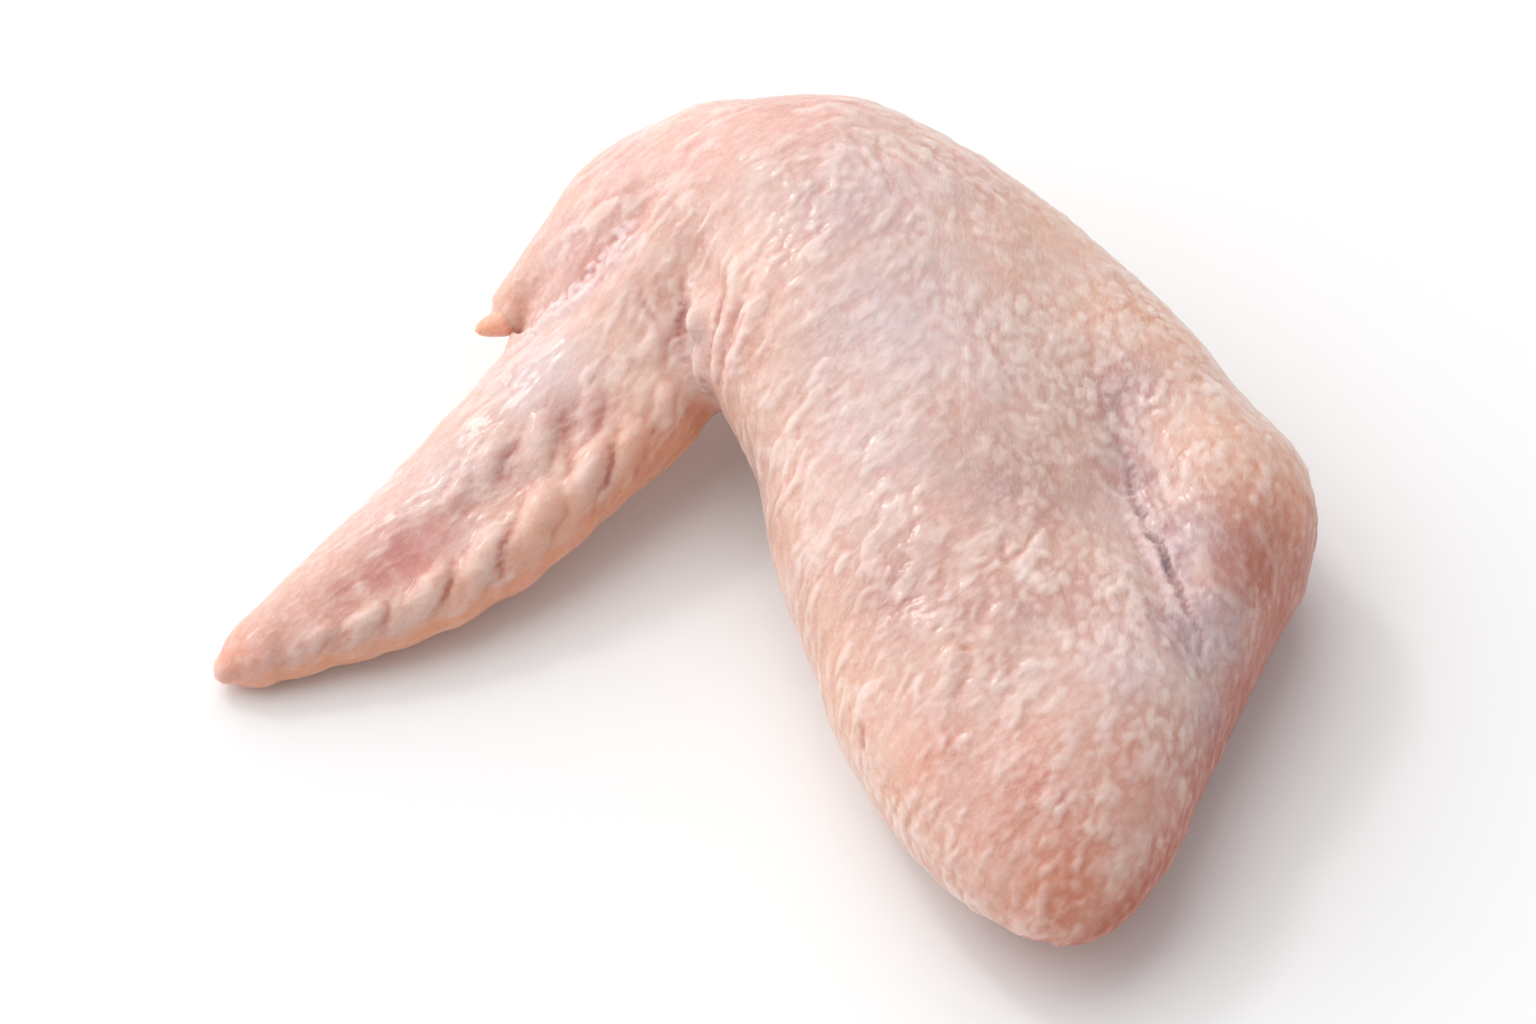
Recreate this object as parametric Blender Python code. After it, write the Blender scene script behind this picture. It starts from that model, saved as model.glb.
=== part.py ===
# A raw whole chicken wing, folded, lying on its underside with the outer skin up.
# Lengths are millimetres while the wing is worked out and metres in the finished mesh.
# +X runs from the wing tip to the shoulder, the elbow points to -Y and +Z is up.
# The form is a field: the distance to five smoothly joined limbs, with the cut end and the folds
# of the skin added to it. A voxel mesh of the limbs is drawn onto the surface where it is zero.

import math

import bmesh
import bpy
import numpy as np
from mathutils import Matrix

# Limbs as rows of stations
# A station is a cross-section: its centre x, y, z, then how far the limb reaches to the left,
# to the right, above and below that centre, as seen when walking along the limb. The forearm
# and the hand start at the wrist, the upper arm starts at the elbow, and the front skin is
# the roll of skin that spans from the wrist to the shoulder.

FOREARM = [
    (4.5, 23.0, 20.0, 13.5, 13.5, 11.0, 10.0),
    (10.0, 11.0, 19.5, 16.5, 17.8, 12.0, 11.0),
    (16.0, -1.5, 17.0, 19.5, 18.2, 12.5, 13.0),
    (20.8, -15.0, 14.7, 20.5, 20.0, 12.5, 13.0),
    (24.9, -26.5, 13.6, 20.3, 20.4, 12.5, 12.7),
    (25.8, -30.5, 13.4, 20.2, 20.2, 12.5, 12.7),
]
UPPER_ARM = [
    (32.5, -50.0, 11.0, 11.0, 9.8, 10.0, 10.5),
    (37.0, -43.0, 12.0, 12.0, 9.5, 11.0, 11.5),
    (42.5, -32.0, 12.5, 11.0, 9.7, 11.5, 12.0),
    (47.0, -20.5, 13.0, 11.0, 9.5, 11.5, 12.0),
    (49.5, -12.5, 13.0, 11.0, 9.5, 11.0, 12.0),
]
FRONT_SKIN = [
    (7.5, 24.0, 20.5, 10.0, 10.0, 9.0, 8.0),
    (18.0, 18.5, 20.0, 11.6, 11.0, 9.0, 9.0),
    (28.8, 10.0, 18.0, 11.5, 10.0, 9.0, 13.0),
    (39.5, -0.5, 16.0, 10.5, 10.0, 10.0, 15.0),
    (46.5, -10.5, 15.0, 8.5, 9.3, 10.0, 13.5),
    (50.0, -15.5, 14.0, 6.8, 8.0, 9.0, 10.0),
]
HAND = [
    (0.5, 23.0, 19.5, 13.5, 14.4, 11.5, 9.0),
    (-6.5, 17.5, 17.0, 10.6, 15.2, 9.0, 8.0),
    (-15.5, 7.5, 12.5, 11.6, 11.5, 6.5, 7.0),
    (-25.0, -3.0, 9.5, 10.9, 11.0, 5.5, 6.0),
    (-32.5, -10.0, 7.5, 10.5, 10.0, 5.0, 5.5),
    (-40.5, -16.0, 6.0, 9.0, 8.5, 4.5, 4.8),
    (-46.0, -19.6, 5.2, 7.0, 6.8, 4.2, 4.3),
    (-51.5, -22.9, 4.6, 5.0, 4.9, 3.8, 3.8),
    (-55.3, -25.1, 4.2, 3.5, 3.4, 3.0, 3.0),
    (-57.1, -26.2, 4.0, 1.8, 1.8, 1.7, 1.7),
]
THUMB = [
    (-5.0, 27.0, 20.0, 8.0, 9.9, 7.0, 7.0),
    (-13.0, 26.0, 18.0, 7.0, 8.0, 6.0, 6.0),
    (-19.5, 22.5, 15.0, 5.0, 5.0, 5.0, 5.0),
    (-24.0, 19.0, 13.0, 3.7, 3.4, 3.6, 3.6),
    (-29.0, 15.5, 11.6, 1.5, 1.5, 1.5, 1.5),
]

# How softly each limb melts into the ones before it, the first one into none, and how far its
# last end is rounded, as a share of the width and height there
JOINED = [
    (FOREARM, 0.0, 1.165),
    (FRONT_SKIN, 9.0, 0.5),
    (UPPER_ARM, 6.0, 0.5),
    (HAND, 3.0, 0.5),
    (THUMB, 2.5, 0.5),
]
START_ROUNDING = 0.5

# How full the corners of a section and of a rounded end are, where 2 is an ellipse
SECTION_POWER = 2.2
END_POWER = 1.75
STEPS_BETWEEN_STATIONS = 12

# The table that the soft underside is pressed against, and how softly it turns up from it
TABLE = 1.2
TABLE_ROUNDING = 1.5

# Folds and hollows of the skin: points x, y where the line meets the skin seen from above, how
# deep it goes and its half width
TOP_FOLDS = [
    # The valley between forearm and upper arm, with the sharp crease at its bottom
    ([(32.0, 3.0), (36.5, -8.0), (40.0, -19.0), (42.5, -27.5), (45.0, -34.5), (47.5, -43.0)], 1.2, 5.0),
    ([(38.5, -14.0), (40.5, -20.5), (42.5, -28.0), (44.5, -34.0), (47.0, -40.0)], 2.0, 2.0),
    # The slit between thumb and hand
    ([(-13.5, 22.0), (-14.5, 18.5), (-17.0, 16.0), (-20.0, 13.5), (-23.0, 11.5), (-26.5, 10.0)], 2.6, 1.8),
    # The skin gathered in the crook of the wrist
    ([(-7.5, 14.0), (-8.0, 9.0), (-8.5, 7.0), (-8.0, 4.5), (-7.5, 2.5), (-5.5, 0.0)], 2.0, 1.6),
    ([(-12.5, 12.5), (-11.0, 8.5), (-11.0, 5.5), (-12.5, 3.0)], 1.3, 1.5),
    ([(-6.5, 12.0), (-5.0, 9.0), (-4.0, 5.0), (-4.0, 1.5)], 1.2, 1.5),
    # The long hollow down the middle of the hand, between its thick front edge and the rows
    ([(-15.5, 2.0), (-21.0, -3.0), (-26.5, -7.5), (-32.5, -12.5), (-38.0, -17.0), (-43.0, -20.5)], 1.1, 2.6),
]
UNDER_FOLDS = [
    # The furrow between forearm and upper arm
    ([(33.0, 2.0), (37.5, -12.0), (41.0, -26.0), (43.5, -40.0)], 3.5, 4.0),
    # The hollow under the wrist and down the hand
    ([(-2.0, 14.0), (-12.0, 8.0), (-22.0, -3.0), (-32.0, -12.0)], 1.6, 4.0),
]

# The cut end at the shoulder, hidden from the front: the way the cut faces, and balls given by
# centre x, y, z and half sizes across the cut, up and outward. The hollow is cut out of the skin
# and leaves it as a lip, the muscle bulges in it and the bone's head has a dent of its own.
CUT_FACING = (0.81, 0.58)
CUT_HOLLOW = ((55.0, 4.0, 8.5), (15.5, 10.5, 9.5))
MUSCLE = ((47.6, -2.0, 8.8), (12.0, 7.2, 5.6))
BONE_HEAD = ((46.4, 3.6, 10.0), (4.3, 4.2, 4.2))
BONE_DENT = ((50.4, 6.4, 10.3), (1.8, 1.6, 1.8))
LIP_ROUNDING = 1.4
FLESH_ROUNDING = 0.8

# The row of plump lobes between the quill pits along the back edge of the hand: the x of one
# groove, the pitch, depth and slant of the grooves, how near the hand they act and how sharp
# they are, then where along the hand and toward its back edge they fade in and out
ROW_START = -15.2
ROW_PITCH = 5.9
ROW_DEPTH = 0.7
ROW_SLANT = -0.16
ROW_REACH = 4.0
ROW_SHARPNESS = 1.5
ROW_BEGINS = (0.2, 0.35)
ROW_ENDS = (0.96, 0.8)
ROW_SIDE = (0.0, 0.5)

# The mesh: voxel sizes of its two passes, spacing of the seed balls, number of triangles, and
# the height below which the underside is one flat plane
VOXELS = (1.6, 1.0)
BALL_SPACING = 3.0
BALL_SUBDIVISIONS = 3
SMOOTHING = 0.4
SMOOTHING_ROUNDS = 2
TRIANGLES = 11800
FLAT_PATCH_HEIGHT = 0.35
MILLIMETRES_PER_METRE = 1000.0

# How points are brought onto the skin: steps of a march toward it and the share of the distance
# that each covers, then rounds along the slope, with the longest move and the least slope used
MARCH_START = 60.0
MARCH_STEPS = 60
MARCH_CAUTION = 0.8
SLOPE_STEP = 0.1
SETTLING_ROUNDS = 4
LONGEST_MOVE = 2.0
LEAST_STEEPNESS = 0.2
LEAST_LEVEL = 0.001

FOLD_SAMPLES_PER_STRETCH = 6
FOLD_END_FADE = 0.12
ABOVE = np.array([0.0, 0.0, 1.0])
BELOW = np.array([0.0, 0.0, -1.0])

SKIN_COLOUR = (0.78, 0.52, 0.42, 1.0)
SKIN_ROUGHNESS = 0.42


# Limbs


def smooth_path(stations):
    """Catmull-Rom curve through the stations, all of their numbers at once."""
    rows = np.array(stations, float)
    rows = np.vstack([2 * rows[0] - rows[1], rows, 2 * rows[-1] - rows[-2]])
    t = (np.arange(STEPS_BETWEEN_STATIONS) / STEPS_BETWEEN_STATIONS)[:, None]
    pieces = []
    for a, b, c, d in zip(rows, rows[1:], rows[2:], rows[3:]):
        bend = (2 * a - 5 * b + 4 * c - d) * t ** 2 + (3 * b - a - 3 * c + d) * t ** 3
        pieces.append(b + 0.5 * ((c - a) * t + bend))
    return np.vstack(pieces + [rows[-2:-1]])


class Limb:
    """A tapering limb with an oval section and rounded ends."""

    def __init__(self, stations, end_rounding):
        self.end_rounding = end_rounding
        path = smooth_path(stations)
        self.centre = path[:, :3]
        forward = np.gradient(self.centre, axis=0)
        self.spacing = np.linalg.norm(forward, axis=1)
        self.forward = forward / self.spacing[:, None]
        left = np.cross([0.0, 0.0, 1.0], self.forward)
        left /= np.linalg.norm(left, axis=1)[:, None]
        up = np.cross(self.forward, left)
        self.rows = np.hstack([self.centre, left, up, path[:, 3:]])

    def place(self, points):
        """How far each point is to the left, above and beyond the ends, with the reaches there."""
        apart = (self.centre ** 2).sum(1) - 2 * points @ self.centre.T
        near = apart.argmin(1)
        last = len(self.centre) - 1
        along = ((points - self.centre[near]) * self.forward[near]).sum(1)
        exact = near + np.clip(along / self.spacing[near], -0.5, 0.5)
        exact = np.clip(exact, 0, last)
        before = np.minimum(exact.astype(int), last - 1)
        share = (exact - before)[:, None]
        row = self.rows[before] * (1 - share) + self.rows[before + 1] * share
        offset = points - row[:, :3]
        left = (offset * row[:, 3:6]).sum(1)
        above = (offset * row[:, 6:9]).sum(1)
        along = (offset * self.forward[near]).sum(1)
        beyond = np.where(exact <= 0, np.minimum(along, 0), 0)
        beyond = np.where(exact >= last, np.maximum(along, 0), beyond)
        return left, above, beyond, row[:, 9:], exact / last

    def distance(self, points):
        left, above, beyond, reach, _ = self.place(points)
        side = np.where(left > 0, reach[:, 0], reach[:, 1])
        height = np.where(above > 0, reach[:, 2], reach[:, 3])
        end = np.where(beyond > 0, self.end_rounding, START_ROUNDING) * (side + height)
        shares = np.abs([left / side, above / height])
        section = (shares ** SECTION_POWER).sum(0) ** (1 / SECTION_POWER)
        level = (section ** END_POWER + np.abs(beyond / end) ** END_POWER) ** (1 / END_POWER)
        level = np.maximum(level, LEAST_LEVEL)
        return np.sqrt(left ** 2 + above ** 2 + beyond ** 2) * (1 - 1 / level)


def smooth_min(a, b, reach):
    """The lower of two levels, with the corner between them rounded over the reach."""
    share = np.clip(0.5 + 0.5 * (b - a) / reach, 0, 1)
    return b * (1 - share) + a * share - reach * share * (1 - share)


def ball_distance(points, centre, half_sizes):
    """Roughly the distance to an oval ball that is turned the way the cut faces."""
    facing = np.array([*CUT_FACING, 0.0])
    across = np.array([-CUT_FACING[1], CUT_FACING[0], 0.0])
    offset = points - np.array(centre)
    parts = np.stack([offset @ across, offset[:, 2], offset @ facing], 1)
    level = np.linalg.norm(parts / np.array(half_sizes), axis=1)
    level = np.maximum(level, LEAST_LEVEL)
    return np.linalg.norm(parts, axis=1) * (1 - 1 / level)


def smooth_max(a, b, reach):
    return -smooth_min(-a, -b, reach)


def ramp(values, start, end):
    """Smooth step from 0 at the start to 1 at the end."""
    share = np.clip((values - start) / (end - start), 0, 1)
    return share * share * (3 - 2 * share)


LIMBS = [(Limb(stations, end_rounding), reach) for stations, reach, end_rounding in JOINED]
HAND_LIMB = next(limb for (limb, _), row in zip(LIMBS, JOINED) if row[0] is HAND)


def body_distance(points):
    """Distance to the skin before any folds, with the underside pressed flat on the table."""
    body = LIMBS[0][0].distance(points)
    for limb, reach in LIMBS[1:]:
        body = smooth_min(body, limb.distance(points), reach)
    body = smooth_max(body, -ball_distance(points, *CUT_HOLLOW), LIP_ROUNDING)
    body = smooth_min(body, ball_distance(points, *MUSCLE), FLESH_ROUNDING)
    body = smooth_min(body, ball_distance(points, *BONE_HEAD), FLESH_ROUNDING)
    body = smooth_max(body, -ball_distance(points, *BONE_DENT), FLESH_ROUNDING)
    return smooth_max(body, TABLE - points[:, 2], TABLE_ROUNDING)


# Folds


def drop(points, side):
    """Bring points onto the skin from far off on one side of the wing."""
    points = points + side * MARCH_START
    for _ in range(MARCH_STEPS):
        points = points - side * body_distance(points)[:, None] * MARCH_CAUTION
    return points


class Fold:
    """A groove along a line on the skin, fading out at both ends."""

    def __init__(self, line, depth, half_width, side):
        line = np.array(line, float)
        stretches = np.arange(len(line))
        samples = np.linspace(0, len(line) - 1, FOLD_SAMPLES_PER_STRETCH * (len(line) - 1) + 1)
        x = np.interp(samples, stretches, line[:, 0])
        y = np.interp(samples, stretches, line[:, 1])
        self.line = drop(np.stack([x, y, np.zeros(len(x))], 1), side)
        fade = np.sin(np.linspace(FOLD_END_FADE, math.pi - FOLD_END_FADE, len(x)))
        self.depth = depth * np.sqrt(fade)
        self.half_width = half_width

    def groove(self, points):
        apart = (points ** 2).sum(1)[:, None] - 2 * points @ self.line.T + (self.line ** 2).sum(1)
        return (self.depth * np.exp(-apart / self.half_width ** 2)).max(1)


FOLDS = [Fold(*fold, ABOVE) for fold in TOP_FOLDS]
FOLDS += [Fold(*fold, BELOW) for fold in UNDER_FOLDS]


def row_grooves(points):
    """Grooves between the lobes along the back edge of the hand."""
    left, _, _, reach, along = HAND_LIMB.place(points)
    fade = ramp(left / reach[:, 0], *ROW_SIDE) * ramp(along, *ROW_BEGINS) * ramp(along, *ROW_ENDS)
    fade = fade * ramp(HAND_LIMB.distance(points), ROW_REACH, 0.0)
    steps = (points[:, 0] - ROW_START - ROW_SLANT * left) / ROW_PITCH
    return ROW_DEPTH * fade * (1 - np.abs(np.sin(math.pi * steps))) ** ROW_SHARPNESS


def field(points):
    """Zero on the finished skin and negative inside it."""
    level = body_distance(points)
    for fold in FOLDS:
        level = level + fold.groove(points)
    return level + row_grooves(points)


# Mesh


def settle(points):
    """Move points onto the skin, each along the field's slope."""
    for _ in range(SETTLING_ROUNDS):
        level = field(points)
        slope = [(field(points + SLOPE_STEP * axis) - level) / SLOPE_STEP for axis in np.eye(3)]
        slope = np.stack(slope, 1)
        steepness = np.maximum((slope ** 2).sum(1), LEAST_STEEPNESS)
        move = np.clip(level / steepness, -LONGEST_MOVE, LONGEST_MOVE)
        points = points - slope * move[:, None]
    return points


def corner_array(mesh):
    corners = np.empty(len(mesh.vertices) * 3)
    mesh.vertices.foreach_get("co", corners)
    return corners.reshape(-1, 3)


def move_corners(mesh, corners):
    mesh.vertices.foreach_set("co", corners.ravel())
    mesh.update()


def with_modifier(mesh, kind, **settings):
    """A new mesh: the given one after one modifier."""
    shaped = bpy.data.objects.new("shaping", mesh)
    bpy.context.scene.collection.objects.link(shaped)
    modifier = shaped.modifiers.new(kind.title(), kind)
    for name, value in settings.items():
        setattr(modifier, name, value)
    graph = bpy.context.evaluated_depsgraph_get()
    result = bpy.data.meshes.new_from_object(shaped.evaluated_get(graph))
    bpy.data.objects.remove(shaped)
    return result


def add_seed_ball(balls, row, forward, half_length):
    """An oval ball that fills the limb's section at one place."""
    left, right, above, below = row[9:]
    frame = np.eye(4)
    frame[:3, 0] = row[3:6] * (left + right) / 2
    frame[:3, 1] = forward * half_length
    frame[:3, 2] = row[6:9] * (above + below) / 2
    frame[:3, 3] = row[:3] + row[3:6] * (left - right) / 2 + row[6:9] * (above - below) / 2
    matrix = Matrix(frame.tolist())
    bmesh.ops.create_icosphere(balls, subdivisions=BALL_SUBDIVISIONS, radius=1.0, matrix=matrix)


def seed_balls():
    """Overlapping balls along the limbs that roughly fill them, with a long one at each end."""
    balls = bmesh.new()
    for limb, _ in LIMBS:
        every = max(1, round(BALL_SPACING / limb.spacing.mean()))
        for row, forward in zip(limb.rows[::every], limb.forward[::every]):
            add_seed_ball(balls, row, forward, row[11:].mean())
        row = limb.rows[-1]
        add_seed_ball(balls, row, limb.forward[-1], limb.end_rounding * row[9:].sum() / 2)
    mesh = bpy.data.meshes.new("balls")
    balls.to_mesh(mesh)
    balls.free()
    return mesh


def wing_mesh():
    mesh = seed_balls()
    for voxel in VOXELS:
        mesh = with_modifier(mesh, "REMESH", mode="VOXEL", voxel_size=voxel)
        move_corners(mesh, settle(corner_array(mesh)))
    mesh = with_modifier(mesh, "SMOOTH", factor=SMOOTHING, iterations=SMOOTHING_ROUNDS)
    mesh.calc_loop_triangles()
    kept = TRIANGLES / len(mesh.loop_triangles)
    mesh = with_modifier(mesh, "DECIMATE", ratio=kept)
    mesh.name = "wing"
    return mesh


def stand_on_origin(mesh):
    """Flatten the resting patches, put the middle of the bounding box's base at the origin."""
    corners = corner_array(mesh)
    corners[:, 2] -= corners[:, 2].min()
    corners[corners[:, 2] < FLAT_PATCH_HEIGHT, 2] = 0.0
    middle = (corners[:, :2].min(0) + corners[:, :2].max(0)) / 2
    corners[:, :2] -= middle
    move_corners(mesh, corners / MILLIMETRES_PER_METRE)


def skin_material():
    material = bpy.data.materials.new("skin")
    material.use_nodes = True
    shader = material.node_tree.nodes["Principled BSDF"]
    shader.inputs["Base Color"].default_value = SKIN_COLOUR
    shader.inputs["Roughness"].default_value = SKIN_ROUGHNESS
    shader.inputs["Metallic"].default_value = 0.0
    return material


def build():
    for thing in list(bpy.data.objects):
        bpy.data.objects.remove(thing)
    mesh = wing_mesh()
    stand_on_origin(mesh)
    mesh.materials.clear()
    mesh.materials.append(skin_material())
    mesh.shade_smooth()
    wing = bpy.data.objects.new("wing", mesh)
    bpy.context.scene.collection.objects.link(wing)


build()
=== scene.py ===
# The looks of a raw whole chicken wing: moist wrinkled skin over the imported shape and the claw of
# its thumb, on a pale table in soft daylight.
# Lengths are millimetres in the part's frame while a form is worked out, and metres in the scene.

import math

import bmesh
import bpy
import numpy as np
from mathutils import Matrix, Vector, noise
from mathutils.bvhtree import BVHTree
from mathutils.kdtree import KDTree


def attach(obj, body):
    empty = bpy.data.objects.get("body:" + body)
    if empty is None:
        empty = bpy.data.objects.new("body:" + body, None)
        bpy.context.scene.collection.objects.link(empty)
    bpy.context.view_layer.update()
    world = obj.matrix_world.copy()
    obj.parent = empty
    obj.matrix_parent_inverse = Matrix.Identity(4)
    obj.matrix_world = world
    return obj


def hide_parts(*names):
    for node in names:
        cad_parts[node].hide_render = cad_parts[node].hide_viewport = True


MILLIMETRES_PER_METRE = 1000.0
SEED = 7
TINY = 1e-9

# The camera looks down from the front, far off with a long lens
VIEW_ELEVATION = math.radians(52.0)
VIEW_TARGET = (0.26, 2.83, 12.8)
VIEW_DISTANCE = 2000.0
VIEW_CLIP_METRES = 100.0
SENSOR_WIDTH = 36.0
LENS = 438.8

# Skin mesh: the even spacing of its points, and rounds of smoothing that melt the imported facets
SPACING = 0.33
WELD = 0.001
SMOOTHING_ROUNDS = 40
SHRINK_SHARE = 0.5
GROW_SHARE = -0.53

# Parts whose packed bulges are melted further: x, y, radius, share
CALMED = [
    (-13.0, 10.0, 6.0, 0.9), (-21.0, 5.0, 6.0, 0.9), (-30.0, -1.0, 6.0, 0.9), (-38.0, -5.0, 6.0, 0.9),
    (-46.0, -8.0, 5.0, 0.9), (-17.0, 32.5, 4.0, 1.0), (-22.0, 29.0, 4.0, 1.0), (-20.0, 15.0, 6.0, 1.0),
    (-28.0, 9.0, 6.0, 1.0), (-35.0, 3.0, 5.0, 1.0), (-41.0, -1.0, 5.0, 1.0), (-11.0, 24.0, 5.0, 1.0),
    (-9.0, 20.0, 4.0, 1.0), (45.0, 1.0, 5.0, 0.8), (49.0, -7.0, 5.0, 0.8),
]
CALMING_ROUNDS = 110

# How the skin is wrinkled from place to place. Each row: x, y, the wrinkles' direction in degrees
# as seen from the front, their length, half width and height, then the height of the pimples
TEXTURE = [
    (-54.0, -9.5, 40, 4.0, 0.45, 0.04, 0.02),
    (-40.0, -3.0, 42, 6.0, 0.42, 0.05, 0.00),
    (-28.0, 13.0, 46, 7.0, 0.40, 0.065, 0.00),
    (-22.0, 37.0, 48, 6.0, 0.50, 0.09, 0.01),
    (-14.0, 21.0, 62, 5.0, 0.55, 0.08, 0.02),
    (-6.0, 43.0, 30, 5.0, 0.55, 0.07, 0.02),
    (4.0, 47.0, 12, 5.0, 0.60, 0.07, 0.02),
    (16.0, 41.0, 130, 4.0, 0.55, 0.06, 0.05),
    (0.0, 27.0, 58, 5.5, 0.60, 0.11, 0.02),
    (12.0, 27.0, 62, 4.0, 0.50, 0.05, 0.04),
    (26.0, 25.0, 105, 3.0, 0.60, 0.045, 0.065),
    (0.0, 9.0, 52, 5.5, 0.55, 0.10, 0.02),
    (13.0, 9.0, 54, 4.5, 0.45, 0.04, 0.02),
    (28.0, 9.0, 108, 3.0, 0.60, 0.045, 0.065),
    (42.0, 15.0, 110, 2.5, 0.60, 0.045, 0.06),
    (52.0, 3.0, 80, 2.5, 0.60, 0.05, 0.06),
    (43.0, -6.0, 125, 4.5, 0.40, 0.05, 0.02),
    (8.0, -13.0, 52, 5.5, 0.55, 0.07, 0.02),
    (22.0, -11.0, 62, 4.0, 0.55, 0.05, 0.04),
    (36.0, -15.0, 75, 3.0, 0.60, 0.045, 0.07),
    (14.0, -33.0, 60, 5.0, 0.60, 0.10, 0.03),
    (25.0, -35.0, 55, 4.5, 0.60, 0.08, 0.03),
    (38.0, -35.0, 65, 3.5, 0.60, 0.05, 0.055),
    (28.0, -50.0, 60, 4.5, 0.60, 0.08, 0.03),
    (48.0, -23.0, 95, 3.0, 0.55, 0.06, 0.04),
]
TEXTURE_REACH = 8.0

# Layers of wrinkled skin: how far apart the strokes start, and their size and height
WRINKLE_LAYERS = [
    (0.95, 1.0, 1.0),
    (0.6, 0.55, 0.6),
]
WRINKLE_TOP = 1.9
WRINKLE_MEAN = 0.4

# Strokes: their width for a wrinkle's half width, how far off the skin's level they still count,
# and a small value that keeps the ground between them level
STROKE_WIDTH = 1.6
STROKE_DEPTH = 2.0
STROKE_FLOOR = 1e-4

# Pimples: their spacing and radius, how long they are for their radius, and the highest ones
PIMPLE_SPACING = 1.8
PIMPLE_RADIUS = 0.6
PIMPLE_STRETCH = 3.2
PIMPLE_TOP = 1.6
PIMPLE_FULL_HEIGHT = 0.065
PIMPLE_TURN = math.radians(30.0)

# How much single wrinkles and pimples differ, and how sharply they meet
DIRECTION_SPREAD = math.radians(14.0)
SIZE_SPREAD = 0.3
BEND_SPREAD = 0.07
CROSSING_POWER = 6.0

# Wavering of the wrinkles' edges, and lumps of skin that is wrinkled more or less than the rest
WAVER = 0.4
WAVER_SIZE = 2.2
PATCH_SIZE = 7.0
PATCH_CONTRAST = 0.9
PATCH_LIMITS = (0.25, 1.9)

# Gentle swells of the flesh under the skin: size and height
SWELLS = [(9.0, 0.25), (4.0, 0.12)]

# Plump lobes of the hand, between the quill pits, and gathers of skin in the crook of the wrist.
# Each row: x, y, direction, length, half width and height
LOBES = [
    (-19.3, 7.9, 63, 10.0, 1.9, 1.0),
    (-14.8, 10.9, 66, 8.0, 1.8, 0.7),
    (-24.3, 3.2, 62, 10.0, 2.3, 1.0),
    (-30.4, -1.3, 63, 9.0, 1.9, 0.9),
    (-36.1, -4.4, 56, 7.5, 1.7, 0.8),
    (-42.8, -7.6, 48, 5.5, 1.4, 0.6),
    (-47.5, -9.1, 45, 4.5, 1.1, 0.4),
    (-24.4, 11.4, 78, 9.0, 1.9, 0.7),
    (-29.8, 10.4, 72, 8.0, 1.7, 0.5),
    (-33.0, 6.6, 66, 6.5, 1.4, 0.4),
    (-19.2, 14.2, 84, 8.0, 1.5, 0.5),
    (-12.0, 22.2, 76, 7.0, 1.4, 0.5),
    (-11.0, 15.6, 80, 5.0, 1.2, 0.4),
]

# How much the lobes calm the wrinkles on them, and the lobe heights where that starts and is full
LOBE_CALM = 0.8
LOBE_CALM_RANGE = (0.05, 0.4)

# Depth of the dents under the blush patches, whose colour is partly painted shade
DENT_DEPTH = 0.25
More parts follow.
